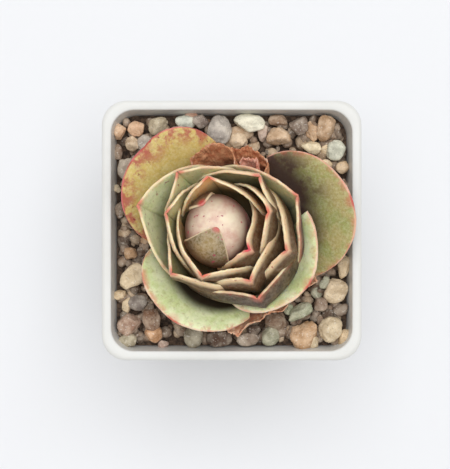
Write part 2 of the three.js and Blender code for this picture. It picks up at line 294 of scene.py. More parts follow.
FOOT_HALF = 25 * MM
FOOT_RING = 1.8 * MM
FLOOR_LOW, FLOOR_TOP = 3 * MM, 5 * MM
POT_CORNER = 4.4 * MM / (FOOT_HALF - FOOT_RING)  # the corners' radius, as a share of the half side
LIP_OUTER, LIP_INNER = 1.0 * MM, 0.5 * MM  # the lip's roundings
MIDDLE_HOLE, CORNER_HOLE = 4 * MM, 3 * MM  # radii of the drain holes
CORNER_HOLE_OUT = 14 * MM
NOTCH_WIDTH, NOTCH_HEIGHT = 8 * MM, 3 * MM
DRILL_DEPTH = 8 * MM
POT_CREASE = 32  # degrees: edges that turn more than this stay sharp


def pot_plastic(colour):
    """White polypropylene, injection moulded: satin, with a faint orange peel and rubbed edges."""
    material, tree, shader = new_material("moulded_polypropylene_white")
    scuffs = patches(tree, 14, 6, 0.65, 0.45, 0.75, 0, 0.35)
    inputs = {
        "Base Color": paint(tree, colour, "#cbcac4", scuffs),
        "Roughness": patches(tree, 5, 4, 0.5, 0.3, 0.7, 0.34, 0.46),
        "IOR": 1.49,
        # Orange peel is drawn at 0.9 mm, as coarse as it needs to show.
        "Normal": relief(tree, 0.9, 2, 0.5, 0.05, 0.02),
    }
    feed(tree, shader, inputs | lit_through(0.08, (1, 0.9, 0.8), 1.5))
    return material


def wall_slope(settings):
    """How far the pot's wall leans out for each metre of height."""
    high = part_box("pot")[1]
    return (high.x - settings.lip + settings.wall - FOOT_HALF) / high.z


def inner_half(settings, height):
    """Half the width between the inner faces of the pot's walls."""
    return FOOT_HALF - settings.wall + wall_slope(settings) * height


def pot_profile(settings):
    """Half sides and heights of the pot's rounded squares, from under its floor to inside it."""
    lip_half, _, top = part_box("pot")[1]
    ring_half = FOOT_HALF - FOOT_RING
    under_lip = top - settings.lip_drop
    wall_half = FOOT_HALF + wall_slope(settings) * under_lip
    profile = [
        (ring_half, FLOOR_LOW),
        (ring_half, 0.3 * MM),
        (ring_half + 0.3 * MM, 0),
        (FOOT_HALF - 0.5 * MM, 0),
        (FOOT_HALF, 0.5 * MM),
        (wall_half - 0.05 * MM, under_lip - 0.5 * MM),
        (wall_half + 0.3 * MM, under_lip),
        (lip_half - 0.5 * MM, under_lip + 0.2 * MM),
        (lip_half - 0.15 * MM, under_lip + 0.6 * MM),
    ]
    outer_round = (LIP_OUTER, lip_half - LIP_OUTER, range(0, 91, 15))
    inner_round = (LIP_INNER, lip_half - settings.lip + LIP_INNER, range(105, 181, 15))
    for radius, middle, turns in (outer_round, inner_round):
        for turn in map(math.radians, turns):
            rise = radius * math.sin(turn)
            profile.append((middle + radius * math.cos(turn), top - radius + rise))
    for height, inset in ((top - 4 * MM, 0), (FLOOR_TOP + 1 * MM, 0), (FLOOR_TOP, 0.7 * MM)):
        profile.append((inner_half(settings, height) - inset, height))
    return profile


def cut_away(piece, cutter):
    """Cuts the cutter's shape out of the piece and throws the cutter away."""
    apply_modifier(piece, "BOOLEAN", operation="DIFFERENCE", object=cutter, solver="EXACT")
    bpy.data.objects.remove(cutter)


class SUCCULENT_OT_make_pot(bpy.types.Operator):
    """Mould the square pot with its lip, foot ring, drain holes and notches"""

    bl_idname = "succulent.make_pot"
    bl_label = "Pot"

    def execute(self, context):
        settings = context.scene.succulent_pot
        profile = pot_profile(settings)
        half, height = profile[0]
        plane = bpy.ops.mesh.primitive_plane_add
        pot = add_primitive(plane, "pot_moulding", size=2 * half, location=(0, 0, height))
        bpy.ops.object.transform_apply(location=True, rotation=True, scale=True)
        bpy.ops.object.mode_set(mode="EDIT")
        bpy.ops.mesh.select_all(action="SELECT")
        bpy.ops.mesh.bevel(offset=POT_CORNER * half, segments=9, affect="VERTICES")
        for next_half, next_height in profile[1:]:
            rise = {"value": (0, 0, next_height - height)}
            bpy.ops.mesh.extrude_region_move(TRANSFORM_OT_translate=rise)
            scale = next_half / half
            middle = (0, 0, next_height)
            bpy.ops.transform.resize(value=(scale, scale, 1), center_override=middle)
            half, height = next_half, next_height
        turn_faces_out(pot)
        self.drill(pot)
        select_only(pot)
        bpy.ops.object.shade_smooth_by_angle(angle=math.radians(POT_CREASE))
        finish_piece(pot, pot_plastic(tuple(settings.colour)), "pot_plastic", "pot")
        return {"FINISHED"}

    def drill(self, pot):
        """Drain holes, in the middle and towards the corners, and a notch in each side's foot."""
        corner_turns = [math.radians(45 + 90 * i) for i in range(4)]
        holes = [(MIDDLE_HOLE, 0, 0)] + [(CORNER_HOLE, CORNER_HOLE_OUT, t) for t in corner_turns]
        for radius, out, turn in holes:
            place = (out * math.cos(turn), out * math.sin(turn), (FLOOR_LOW + FLOOR_TOP) / 2)
            size = {"vertices": 40, "radius": radius, "depth": DRILL_DEPTH}
            cylinder = bpy.ops.mesh.primitive_cylinder_add
            cut_away(pot, add_primitive(cylinder, "drain_hole", location=place, **size))
        for turn in (math.radians(90 * i) for i in range(4)):
            place = (FOOT_HALF * math.cos(turn), FOOT_HALF * math.sin(turn), 0)
            cube = bpy.ops.mesh.primitive_cube_add
            notch = add_primitive(cube, "foot_notch", size=NOTCH_WIDTH, location=place)
            notch.scale.z = NOTCH_HEIGHT / NOTCH_WIDTH
            cut_away(pot, notch)


# ---- Gravel ---------------------------------------------------------------------------------

STONE_FACETS, STONE_SHARPNESS = 10, 22
FACET_NEAR, FACET_FAR, CORNER_FAR = 0.62, 1.0, 1.08  # how far flats and corners are, on a radius of 1
WEAR = ((0.09, 2.2), (0.05, 6))  # the depth and the pitch of a stone's dents
BLEACHING = (1.12, 1.35)
BACK_LIGHTENING = 3.2  # how much lighter the stones are made for each metre towards the back
BED_GAP = 0.15 * MM  # between the grit and the pot's wall
BED_GRID = 110
BED_CREASE = 50
BED_LUMPS = ((3.5 * MM, 0, 0.7), (1.2 * MM, 0.5, 0.35))  # size, place in the noise, and height in mm
BED_SMOOTH_EDGE = 1.5 * MM
FINE_GRAINS = 900
GRAIN_COLOURS = "#6b5444 #7d6450 #8c7460 #a08a70 #5a4638 #4b3b31 #b59b7c #97826f".split()
MID_STONE_TRIES = 700
MID_STONE_COLOURS = "#b59b7c #a89b8b #c7a683 #8c7766 #b3b396 #75655a #c29b74 #9a7a62".split()


def gravel_material():
    """Crushed and tumbled gravel, dry: matt, pitted, each stone of its own colour."""
    material, tree, shader = new_material("tumbled_dry_gravel")
    own = add_node(tree, "ShaderNodeAttribute", attribute_name="stone_colour").outputs["Color"]
    pale = paint(tree, own, "#f1e3cc", 0.3)
    deep = paint(tree, own, "#5d4330", 0.38)
    body = paint(tree, deep, pale, patches(tree, 2.6, 4, 0.6, 0.32, 0.68))
    body = paint(tree, body, "#4a3a30", patches(tree, 0.45, 2, 0.6, 0.62, 0.7, 0, 0.45))
    body = paint(tree, body, "#f5efe4", patches(tree, 0.6, 1, 0.5, 0.3, 0.36, 0.35, 0))
    # Pits are about 0.5 mm across on a stone of 5 mm.
    pits = relief(tree, 0.55, 4, 0.62, 1.0, 0.3)
    inputs = {"Base Color": body, "Roughness": 0.88, "Specular IOR Level": 0.3, "Normal": pits}
    feed(tree, shader, inputs)
    return material


def grit_material(dark):
    """Settled fine grit, slightly damp: dark brown crumbs with some pale grains."""
    material, tree, shader = new_material("settled_damp_grit")
    body = paint(tree, dark, "#6b5543", patches(tree, 1.1, 5, 0.7, 0.35, 0.7))
    lumps = relief(tree, 0.8, 5, 0.7, 0.9, 0.5)
    feed(tree, shader, {"Base Color": body, "Roughness": 0.95, "Normal": lumps})
    return material


def stone_shape(directions, chance):
    """Radii of a worn stone in the given directions: a rounded body of random flats."""
    powers = np.zeros(len(directions))
    for _ in range(STONE_FACETS):
        out = Vector([chance.gauss(0, 1) for _ in range(3)]).normalized()
        distance = chance.uniform(FACET_NEAR, FACET_FAR)
        powers += (np.clip(directions @ np.array(out), 0, None) / distance) ** STONE_SHARPNESS
    powers += CORNER_FAR**-STONE_SHARPNESS
    return powers ** (-1 / STONE_SHARPNESS)


class StonePile:
    """Gathers many stones, each with its own shape and colour, into one piece."""

    def __init__(self, name, seed):
        self.name = name
        self.chance = random.Random(seed)
        self.corners = []
        self.faces = []
        self.colours = []
        self.balls = {}

    def ball(self, fineness):
        """Directions and faces of a ball, made once for each fineness."""
        if fineness not in self.balls:
            sphere = bpy.ops.mesh.primitive_ico_sphere_add
            made = add_primitive(sphere, "stone_blank", subdivisions=fineness, radius=1)
            faces = np.array([p.vertices[:] for p in made.data.polygons])
            places = vertex_positions(made)
            directions = places / np.linalg.norm(places, axis=1, keepdims=True)
            self.balls[fineness] = (directions, faces)
            bpy.data.objects.remove(made)
        return self.balls[fineness]

    def add(self, middle, size, turn, colour, fineness=4, tumble=12):
        """A stone whose length, width and height are size, turned about Z and tumbled a little."""
        directions, faces = self.ball(fineness)
        radii = stone_shape(directions, self.chance)
        start = Vector([self.chance.uniform(0, 50) for _ in range(3)])
        for deep, pitch in WEAR:
            radii += [deep * noise.noise(Vector(d) * pitch + start) for d in directions]
        shape = directions * radii[:, None]
        low, high = shape.min(0), shape.max(0)
        shape = (shape - (high + low) / 2) / (high - low) * np.array(size)
        tilts = [math.radians(self.chance.uniform(-tumble, tumble)) for _ in range(2)]
        spin = np.array(Euler((*tilts, math.radians(turn))).to_matrix())
        self.faces.append(faces + sum(len(c) for c in self.corners))
        self.corners.append(shape @ spin.T + np.array(middle))
        # Each stone is lightened by its own random share, and the stones are made lighter towards the
        # back.
        bleaching_and_back_lightening = self.chance.uniform(*BLEACHING) * (1 + BACK_LIGHTENING * middle[1])
        shade = [min(1, c * bleaching_and_back_lightening) for c in linear(colour)[:3]] + [1]
        self.colours.append(np.tile(shade, (len(shape), 1)))

    def finish(self, material, slot, *nodes):
        """Makes the gathered stones a piece that stands for the nodes."""
        mesh = bpy.data.meshes.new(self.name)
        mesh.from_pydata(np.vstack(self.corners), [], np.vstack(self.faces).tolist())
        piece = bpy.data.objects.new(self.name, mesh)
        bpy.context.scene.collection.objects.link(piece)
        layer = mesh.attributes.new("stone_colour", "FLOAT_COLOR", "POINT")
        layer.data.foreach_set("color", np.vstack(self.colours).ravel())
        mesh.polygons.foreach_set("use_smooth", [True] * len(mesh.polygons))
        mesh.update()
        finish_piece(piece, material, slot, *nodes)


# The frame's loose stones: length and width in mm, turn in degrees, and colour.
FRAME_STONES = {
    "olive": (5.8, 5.0, 20, "#b3a68a"),
    "peach": (4.6, 4.4, 0, "#d6ab86"),
    "back_left_grey": (5.4, 4.6, -15, "#a39a90"),
    "mint": (5.8, 4.0, 0, "#d3d8c8"),
    "back_grey": (8.2, 6.6, 80, "#b3aca3"),
    "cream": (8.6, 5.4, -5, "#e4dac4"),
    "pinkish": (5.0, 4.4, 10, "#dcc3a2"),
    "tan": (6.6, 5.0, -12, "#c7a683"),
    "back_brown": (5.4, 3.2, 0, "#8f7259"),
    "taupe": (5.8, 5.4, 70, "#75655a"),
    "tan_slab": (7.4, 4.8, 75, "#b08e6c"),
    "mint_grey": (5.8, 5.2, 60, "#bfc2b0"),
    "light_buff": (6.0, 3.8, -10, "#dcc8a5"),
    "back_right_cream": (4.4, 4.0, 20, "#dac09a"),
    "left_grey": (6.6, 5.0, 85, "#a89b8b"),
    "left_buff": (8.4, 6.0, 35, "#dcc6a0"),
    "dark_grey": (5.2, 4.4, 0, "#857d77"),
    "pinkish_brown": (7.0, 6.0, 25, "#a98570"),
    "orange_tan": (5.4, 4.8, -70, "#cf9a6c"),
    "grey_beige": (6.2, 5.4, 90, "#a19b85"),
    "front_brown": (7.4, 4.8, 0, "#58443a"),
    "beige_grey": (6.4, 3.8, 5, "#a08f7e"),
    "green_round": (5.4, 4.8, 80, "#9da086"),
    "pale_green": (7.8, 4.0, 35, "#bcc3a4"),
    "large_tan": (8.6, 7.2, 60, "#c79c70"),
    "front_right_buff": (7.0, 6.6, 40, "#dcc7a2"),
    "right_buff": (7.0, 6.2, 70, "#dbc4a0"),
}
STONE_SLOTS = ("buff_stone", "grey_stone", "green_stone", "brown_stone")

# Stones that fill in between them: middle and size in mm, turn in degrees, colour and slot.
MORE_STONES = [
    (-30.4, 27.0, 3.6, 4.8, 0, "#d2ac89", "buff_stone"),
    (-27.0, 23.6, 4.0, 4.2, 30, "#cdb494", "buff_stone"),
    (-8.6, 29.6, 4.8, 3.8, 10, "#8d8077", "grey_stone"),
    (-10.8, 31.2, 4.4, 2.2, 0, "#9b6a55", "brown_stone"),
    (-31.2, 11.4, 2.4, 2.4, 0, "#dccaa9", "buff_stone"),
    (8.4, 26.6, 2.8, 5.2, 0, "#c3ab9b", "grey_stone"),
    (21.8, 27.0, 3.6, 5.8, 10, "#c09c78", "buff_stone"),
    (25.6, 22.0, 2.8, 2.8, 0, "#d8bf99", "buff_stone"),
    (30.0, 17.2, 3.8, 3.8, 0, "#ccae88", "buff_stone"),
    (-27.4, -6.2, 3.6, 3.4, 0, "#c29b74", "buff_stone"),
    (-30.4, -17.4, 3.8, 2.6, 20, "#d8bd95", "buff_stone"),
    (-28.4, -20.2, 3.0, 4.6, 0, "#dcc39c", "buff_stone"),
    (-21.8, -24.2, 5.0, 7.0, 10, "#8c6a53", "brown_stone"),
    (-28.2, -30.0, 5.2, 4.0, 5, "#aaa084", "buff_stone"),
    (-18.6, -31.0, 3.0, 2.4, 0, "#c4a798", "grey_stone"),
    (12.0, -24.8, 6.4, 4.6, -20, "#7d6450", "brown_stone"),
    (5.8, -27.2, 4.2, 3.0, 10, "#54433a", "brown_stone"),
    (15.4, -21.4, 2.8, 3.2, 0, "#b7c0a0", "green_stone"),
    (22.0, -30.2, 3.4, 4.2, 0, "#dac7a4", "buff_stone"),
    (30.4, -29.4, 3.8, 5.4, -20, "#cfb48c", "buff_stone"),
    (24.2, -20.0, 4.4, 4.2, 20, "#8c7766", "grey_stone"),
    (29.8, -21.6, 4.6, 3.4, 15, "#5c483c", "brown_stone"),
    (30.6, -9.8, 3.8, 6.8, 0, "#d9c19a", "buff_stone"),
    (23.0, -17.0, 3.2, 3.2, 0, "#a9ac94", "green_stone"),
    (25.4, -14.2, 3.2, 3.6, 0, "#b2b79d", "green_stone"),
    (-31.0, 21.4, 2.6, 4.4, 0, "#8a7260", "brown_stone"),
    (-30.6, 5.4, 3.0, 4.6, 0, "#7a6453", "brown_stone"),
    (-15.4, 27.0, 4.6, 3.0, 20, "#77665a", "grey_stone"),
    (30.6, 12.0, 2.8, 4.2, 0, "#8f7863", "brown_stone"),
]


class SUCCULENT_OT_make_gravel(bpy.types.Operator):
    """Settle the grit in the pot and lay the loose stones on it"""

    bl_idname = "succulent.make_gravel"
    bl_label = "Gravel"

    def execute(self, context):
        settings = context.scene.succulent_gravel
        self.settle_bed(context.scene.succulent_pot, tuple(settings.dark))
        self.lay_stones()
        self.scatter_grains(settings.grain)
        return {"FINISHED"}

    def settle_bed(self, pot, dark):
        """A lumpy top, with straight sides down to the pot's floor."""
        low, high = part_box("grit_bed")
        half = inner_half(pot, high.z) - BED_GAP
        foot_half = inner_half(pot, low.z) - BED_GAP
        grid = {"x_subdivisions": BED_GRID, "y_subdivisions": BED_GRID, "size": 2}
        bed = add_primitive(bpy.ops.mesh.primitive_grid_add, "grit_settled", **grid)
        places = vertex_positions(bed)
        for place in places:
            place[:] = self.bed_point(place[0] * half, place[1] * half, half, high.z)
        set_vertex_positions(bed, places)
        bpy.ops.object.mode_set(mode="EDIT")
        bpy.ops.mesh.select_all(action="SELECT")
        bpy.ops.mesh.region_to_loop()
        drop = {"value": (0, 0, low.z - high.z)}
        bpy.ops.mesh.extrude_region_move(TRANSFORM_OT_translate=drop)
        narrower = foot_half / half
        bpy.ops.transform.resize(value=(narrower, narrower, 0), center_override=(0, 0, low.z))
        bpy.ops.mesh.edge_face_add()
        turn_faces_out(bed)
        bpy.ops.object.shade_smooth_by_angle(angle=math.radians(BED_CREASE))
        finish_piece(bed, grit_material(dark), "grit", "grit_bed")

    def bed_point(self, x, y, half, top):
        """A point of the grit's top, drawn in at the corners and lumpy except along the wall."""
        corner = half * POT_CORNER
        flat = Vector((x, y))
        beyond = Vector((max(0, abs(x) - half + corner), max(0, abs(y) - half + corner)))
        if beyond.length > corner:
            pushed = beyond - beyond.normalized() * corner
            flat -= Vector((math.copysign(pushed.x, x), math.copysign(pushed.y, y)))
        lumps = 0
        for size, layer, rise in BED_LUMPS:
            lumps += noise.noise(Vector((flat.x, flat.y, layer)) / size) * rise
        inside = min(1, (half - max(abs(flat.x), abs(flat.y))) / BED_SMOOTH_EDGE)
        return (flat.x, flat.y, top + (lumps * inside - 0.4) * MM)

    def lay_stones(self):
        """The frame's loose stones, at their nodes' places, and more between them."""
        material = gravel_material()
        piles = {slot: StonePile(slot + "s", seed) for seed, slot in enumerate(STONE_SLOTS)}
        replaced = {slot: [] for slot in STONE_SLOTS}
        for name, (length, width, turn, colour) in FRAME_STONES.items():
            node = "stone_" + name
            low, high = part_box(node)
            size = (length * MM, width * MM, high.z - low.z)
            piles[NODE_SLOTS[node]].add((low + high) / 2, size, turn, colour)
            replaced[NODE_SLOTS[node]].append(node)
        bed_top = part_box("grit_bed")[1].z
        chance = random.Random(5)
        for x, y, length, width, turn, colour, slot in MORE_STONES:
            height = min(length, width) * MM
            middle = (x * MM, y * MM, bed_top + height * 0.42 + chance.uniform(0, 0.6) * MM)
            piles[slot].add(middle, (length * MM, width * MM, height), turn, colour)
        for slot, pile in piles.items():
            pile.finish(material, slot, *replaced[slot])

    def scatter_grains(self, grain):
        """Small grains out to the pot's wall, and mid-size stones that fill in under the leaves."""
        pile = StonePile("small_grains", 21)
        chance = pile.chance
        bed_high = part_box("grit_bed")[1]
        half = bed_high.x - 1.4 * MM
        for _ in range(FINE_GRAINS):
            width = grain * chance.uniform(0.5, 1.35)
            x, y = (chance.uniform(-half, half) for _ in range(2))
            size = (width * chance.uniform(1, 1.4), width, width * chance.uniform(0.7, 1))
            middle = (x, y, bed_high.z + chance.uniform(-0.2, 0.9) * MM)
            turn, colour = chance.uniform(0, 180), chance.choice(GRAIN_COLOURS)
            pile.add(middle, size, turn, colour, fineness=2, tumble=40)
        laid = []
        half -= 4 * MM
        for _ in range(MID_STONE_TRIES):
            width = chance.uniform(3.4, 6.0) * MM
            x, y = (chance.uniform(-half, half) for _ in range(2))
            on_root = math.hypot(x - ROOT_AXIS[0] * MM, y - ROOT_AXIS[1] * MM) < 6 * MM
            if math.hypot(x, y) > 25 * MM or on_root:
                continue
            if any(math.hypot(x - u, y - v) < 0.46 * (width + w) for u, v, w in laid):
                continue
            laid.append((x, y, width))
            size = (width * chance.uniform(1, 1.3), width, width * 0.62)
            middle = (x, y, bed_high.z + chance.uniform(0.3, 0.9) * MM)
            turn, colour = chance.uniform(0, 180), chance.choice(MID_STONE_COLOURS)
            pile.add(middle, size, turn, colour, fineness=3, tumble=20)
        pile.finish(gravel_material(), "brown_stone")


# ---- Leaves ---------------------------------------------------------------------------------

# The rosette leans: its rims stand round MOUTH, and its leaves grow from round ROOT_AXIS. Both are
# x and y in mm. Other lengths and heights here are in mm too.
MOUTH = np.array([-1.0, -0.45])
ROOT_AXIS = np.array([1.2, -2.6])
LEAN_FROM, LEAN_TO = 84, 73
LOWEST_LEAF, LEAF_PITCH = 60.8, 0.66
STEM_COLLAR, STEM_TOP = 56, 75.5
STEM_RADII = (3.4, 2.5)
LEAF_GRID = (110, 44)
TUCK_FROM = 0.33  # the share of an arm past which its end begins to sink
STANDING_END = ("open_leaf_front_right", 1)  # the one end that stands clear of its neighbours
FRONT_RIGHT = -45  # the azimuth towards which the cup's bellies show most
HUG_OUT = 1.0  # how far a sinking end stays outside the next leaf's belly, at the front right
ROOT_OUT = 0.65  # how far a leaf's root stands outside the stem
WIDEST_ROOT = 34  # degrees each way
MARGIN = 1.1  # how wide the rounded margin of the flesh is
PAPER_THIN = 1e-5  # in metres: the two faces of a leaf before it has its flesh

# How each row of leaves opens. spread and rise: how its blade leaves the stem. bulge and swing: how
# far its belly stands outside its rim, and how much more it does so towards the front right.
# depth: how far below the rim the belly is, in mm, or as a share of the leaf where it is below 1.
# sink: how far its ends dive under the next leaves. reach: how far past the given ends the rim runs
# on, as a share of each arm. tilt: how much of the rosette's lean it takes. power: how fast its rim
# leaves the tip. look: its colours, where the leaf has none of its own.
OPEN = dict(spread=13, rise=0.4, bulge=-7, swing=0, depth=1.6, sink=5, reach=1, tilt=1)
OPEN.update(thickness=1.4, power=1)
RING = dict(spread=15, rise=0.3, bulge=0.9, swing=2.5, depth=6, sink=9, reach=1.08, tilt=1)
RING.update(thickness=0.95, power=0.75, look="ring")
RING_WIDE = dict(RING, bulge=-1.2, swing=1.6, depth=5)
CUP = dict(RING, spread=12.5, bulge=2.6, swing=1.8, reach=1.12, tilt=0.8)
CUP.update(thickness=0.85, look="cup")
HEART = dict(CUP, spread=10.5, bulge=3.0, tilt=0.45, thickness=0.75, look="heart")
DRY = dict(OPEN, spread=14.5, rise=0, bulge=-1.8, depth=0.4, sink=0, thickness=0.7, power=0.9)

# From the oldest in to the youngest: node, style, the rim's azimuths in degrees at its start, tip
# and end, its radii in mm at those and halfway between them, and its heights in mm. They are the
# frame's, but for the ends of the cup's right and front leaves and the heart's front right leaf,
# which run on further.
LEAVES = [
    ("dry_leaf_front_right", DRY, (-47, -29, -16), (21, 24.5, 27.3, 24, 22), (64, 66.5, 64)),
    ("dry_leaf_front", DRY, (262, 276, 309), (23, 26.3, 27.4, 24.8, 25.4), (66, 67, 68)),
    ("open_leaf_right", OPEN, (-28, 14, 62), (25.8, 32.4, 33.8, 31.2, 25.1), (71, 75, 72)),
    ("open_leaf_back_left", OPEN, (96, 134, 187), (23.6, 30.6, 31.4, 29.9, 22.0), (73, 76, 73)),
    ("open_leaf_front_left", OPEN, (191, 238, 284), (24.4, 26.3, 27.5, 26.5, 24.2), (74, 76, 73)),
    ("open_leaf_front_right", OPEN, (-92, -33, 15), (20.2, 23.4, 25.4, 23.8, 21.4), (76, 78, 78)),
    ("dry_leaf_back_right", DRY, (58, 74, 92), (22.4, 22.4, 22.6, 22.4, 22.0), (73.5, 74, 74)),
    ("dry_leaf_back", DRY, (82, 104, 119), (21.4, 22.6, 23.2, 22.4, 21.6), (77, 79, 77)),
    ("dry_flap_back", DRY, (65, 72, 80), (19.9, 20.1, 20.3, 20.1, 19.9), (76, 77, 76)),
    ("ring_leaf_left", RING, (104, 163.5, 220), (18.6, 22.0, 24.6, 20.7, 18.9), (79, 83, 80)),
    ("ring_leaf_right", RING_WIDE, (-24, 28, 95), (19.2, 18.1, 20.4, 18.0, 18.1), (80, 84, 81)),
    ("ring_leaf_front", RING, (-130, -66, -18), (17.5, 15.4, 18.8, 17.1, 17.6), (79, 83, 81)),
    ("ring_leaf_back_left", RING, (72, 130.5, 172), (16.0, 17.5, 20.4, 17.6, 17.9), (82, 85, 82)),
    ("cup_leaf_front_left", CUP, (174, 216, 282), (15.9, 16.0, 18.3, 14.4, 13.9), (82, 85, 82)),
    ("cup_leaf_right", CUP, (-63, -17.5, 50), (14.6, 13.8, 15.9, 14.2, 15.7), (82, 85, 83)),
    ("cup_leaf_back_right", CUP, (13, 61, 126), (13.1, 13.3, 16.4, 15.3, 16.9), (85, 87, 84)),
    ("cup_leaf_front", CUP, (246, 294, 372), (13.2, 12.0, 13.8, 10.4, 12.3), (84, 86, 84)),
    ("cup_leaf_left", CUP, (118, 163.5, 233), (15.4, 15.5, 16.7, 14.3, 13.8), (84, 87, 84)),
    ("heart_leaf_right", HEART, (-46, 26, 84), (9.8, 8.9, 11.5, 12.1, 13.1), (85, 88, 86)),
    ("heart_leaf_front_left", HEART, (150, 240, 308), (14.3, 12.2, 13.0, 9.8, 10.0), (86, 88, 86)),
    ("heart_leaf_back", HEART, (33, 110, 157), (9.7, 11.0, 15.0, 13.8, 13.0), (87, 88.5, 86.5)),
    ("heart_leaf_front_right", HEART, (-100, -40, 46), (8.2, 6.3, 7.2, 5.0, 9.0), (86.5, 87.5, 86.5)),
]

# A leaf's colours: its inner face and the clouds on it, its base, in painted shade, its outer face
# near the rim and low down, where it is painted shade, its edge, and the red of its tip. blush: how
# much of the margin is red, and how wide in mm. shade: how far along the leaf the painted shade of
# the base colour begins to clear and has cleared. spots: how strong the dark red dots are.
# stain: how far across the leaf a dark purple tint, deepened by painted shade, begins and
# is full, and past 1 there is none.
GREEN = dict(face="#bcc487", cloud="#d3d7a8", base="#4f4a34", outer="#bfb383", low="#6d5a3c")
GREEN.update(edge="#e6c9ae", tip="#c5564a", blush=0.5, blush_mm=1.2, shade=(0.45, 0.8))
GREEN.update(spots=0.2, stain=(1.5, 2))
OLIVE = dict(GREEN, face="#b9b377", cloud="#cdc28c", base="#4c4028", outer="#e4c89d", low="#583b22")
OLIVE.update(edge="#efdcb4", tip="#cf7866", blush=0.3, blush_mm=0.8, shade=(0.4, 0.85), spots=0.6)
# The heart leaves' face is orange, and painted lighter still: painted light on inner walls that stand
# in shade.
WARM = dict(OLIVE, face="#fcba76", cloud="#f2c98a", outer="#e6cda3", edge="#f0dfb8", tip="#d9705c")
WARM.update(shade=(0.42, 0.74))
FRESH = dict(GREEN, face="#c3cd90", cloud="#dbe0b4", base="#2c2216")
AGED = dict(GREEN, face="#c4ab5e", cloud="#cbb568", base="#8c7a45", edge="#cf6f72", tip="#a83c40")
DUSKY = dict(GREEN, face="#999b5a", cloud="#aa9c62", base="#3e2827", edge="#e0b09a", tip="#c04a48")
# ring_leaf_right's face is painted lighter, as painted light on its steep shaded wall; its mauve
# outer face is its own colour.
RUSTY = dict(OLIVE, face="#cccf96", cloud="#dcd9a6", outer="#96604f", low="#4c2e28", base="#2c2216")
LOOKS = {
    # The ring leaves' face is painted lighter: painted light on steep walls that stand in shade.
    "ring": dict(OLIVE, face="#c6cb92", outer="#a78c68", low="#4e3a28", shade=(0.35, 0.66)),
    "cup": OLIVE,
    "heart": WARM,
    "open_leaf_back_left": dict(AGED, blush=0.95, blush_mm=3.9, shade=(0.4, 0.75), spots=0.9),
    "open_leaf_right": dict(DUSKY, blush_mm=1.0, shade=(0.45, 0.72), stain=(0.42, 0.66)),
    "open_leaf_front_right": dict(FRESH, blush=0.35, shade=(0.46, 0.64)),
    "open_leaf_front_left": dict(FRESH, blush=0.7, blush_mm=1.0, shade=(0.58, 0.78)),
    "ring_leaf_left": dict(OLIVE, face="#c8d197", cloud="#dcdfb2", blush=0.4),
    "ring_leaf_right": dict(RUSTY, blush=0.5, shade=(0.4, 0.72)),
    # The front ring leaf's outer face is painted darker than the rest: painted shade, for the shadow
    # it stands in.
    "ring_leaf_front": dict(OLIVE, face="#a9ad78", outer="#5c442c", low="#3e2b1b", blush=0.35),
    "heart_leaf_front_right": dict(WARM, tip="#d83a50"),
}


def quadratic_arm(tip, middle, end, share, power):
    """A rim's radius along one of its arms, through its tip, middle and end."""
    t = share**power
    return tip * (2 * t * t - 3 * t + 1) + middle * 4 * (t - t * t) + end * (2 * t * t - t)


def lean_at(z):
    """How far a height has moved from over the mouth to over the root, from 0 to 1."""
    depth = np.clip((LEAN_FROM - z) / (LEAN_FROM - LEAN_TO), 0, 1)
    return 1 - (1 - depth) ** 1.6


def leaf_blade(leaf, across, along, stray=0.0):
    """Points in mm on the middle of a leaf's blade, at arrays of across and along from 0 to 1."""
    style, azimuths, radii, tops, order, draws = leaf
    start_at, tip_at, end_at = azimuths
    start, early, tip, late, end = radii
    start_top, tip_top, end_top = tops
    reach = style["reach"]
    runs_on = reach > 1
    first = across < 0.5
    share = np.abs(2 * across - 1) * reach
    azimuth = tip_at + (np.where(first, start_at, end_at) - tip_at) * share
    facing = np.cos(np.radians(azimuth - FRONT_RIGHT))
    # The ends draw in and sink under the next leaf. Those towards the front right hug it outside.
    tucked = np.clip((share - TUCK_FROM) / (reach - TUCK_FROM), 0, 1) ** 2
    draw = np.where(first, *draws)
    hug = np.clip(1.5 * facing, 0, 1) * runs_on
    sink = style["sink"] * (draw > 0) * (1 - 0.2 * hug)
    shift = HUG_OUT * hug * tucked - (1 - hug) * draw * tucked**2
    middle, last = np.where(first, early, late), np.where(first, start, end)
    rim = quadratic_arm(tip, middle, last, share, style["power"]) + stray + shift
    top = tip_top + (np.where(first, start_top, end_top) - tip_top) * share**1.5 - sink * tucked
    # The blade rises from its root on the stem through its belly to its rim.
    root_z = LOWEST_LEAF + LEAF_PITCH * order
    up_stem = (root_z - STEM_COLLAR) / (STEM_TOP - STEM_COLLAR)
    root_radius = STEM_RADII[0] + (STEM_RADII[1] - STEM_RADII[0]) * up_stem + ROOT_OUT
    half_angle = min(WIDEST_ROOT, 0.45 * (end_at - start_at))
    root_azimuth = (start_at + end_at) / 2 + (2 * across - 1) * half_angle
    turn = np.radians(root_azimuth + (azimuth - root_azimuth) * (1 - (1 - along) ** 2))
    flattened = 0.4 * np.clip((share - 0.15) / (reach - 0.15), 0, 1) ** 1.6 * runs_on
    belly = rim + (style["bulge"] + style["swing"] * facing) * (1 - flattened)
    depth = style["depth"] if style["depth"] > 1 else (top - root_z) * style["depth"]
    rest = 1 - along
    weights = (rest**3, 3 * along * rest**2, 3 * along**2 * rest, along**3)
    stops_r = (root_radius, root_radius + style["spread"], belly, rim)
    stops_z = (root_z, root_z + style["rise"], top - depth, top)
    radius = sum(w * s for w, s in zip(weights, stops_r))
    z = sum(w * s for w, s in zip(weights, stops_z))
    leaning = (lean_at(z) - lean_at(top) * along**2) * style["tilt"]
    moved = leaning + (1 - leaning) * rest**2
    middle_xy = MOUTH + (ROOT_AXIS - MOUTH) * moved[:, None]
    flat = middle_xy + radius[:, None] * np.stack([np.cos(turn), np.sin(turn)], 1)
    return np.column_stack([flat, z])


